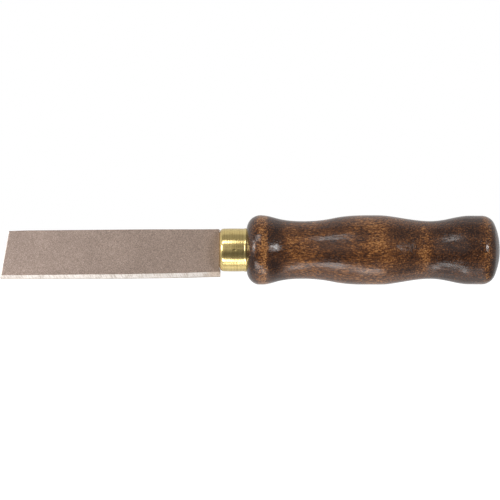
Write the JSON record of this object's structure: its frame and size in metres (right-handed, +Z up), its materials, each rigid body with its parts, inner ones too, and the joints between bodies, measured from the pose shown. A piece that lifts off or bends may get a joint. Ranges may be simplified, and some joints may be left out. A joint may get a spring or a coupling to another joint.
{
  "type": "fixed-blade knife",
  "caption": "Fixed-blade hand knife with a flat slant-ended blade ground along its lower edge, a brass ferrule and a turned wooden handle.",
  "frame": {"origin": "on the surface that the handle's swellings lie on, under the middle of the knife's length and width", "axes": "+X from the blade's tip to the handle's butt, +Z up with the cutting edge facing down, +Y across the blade's thickness"},
  "size_m": [0.23, 0.0318, 0.0318],
  "materials": {
    "blade_alloy": "sand-blasted nickel-copper alloy with a bright ground edge",
    "ferrule_brass": "polished, with fine turning lines",
    "handle_wood": "dark stained hardwood under clear gloss lacquer",
    "bedding_resin": "cured resin"
  },
  "bodies": {
    "root": {"blade": "blade_alloy", "ferrule": "ferrule_brass", "handle": "handle_wood", "tang_bedding": "bedding_resin"}
  },
  "joints": []
}
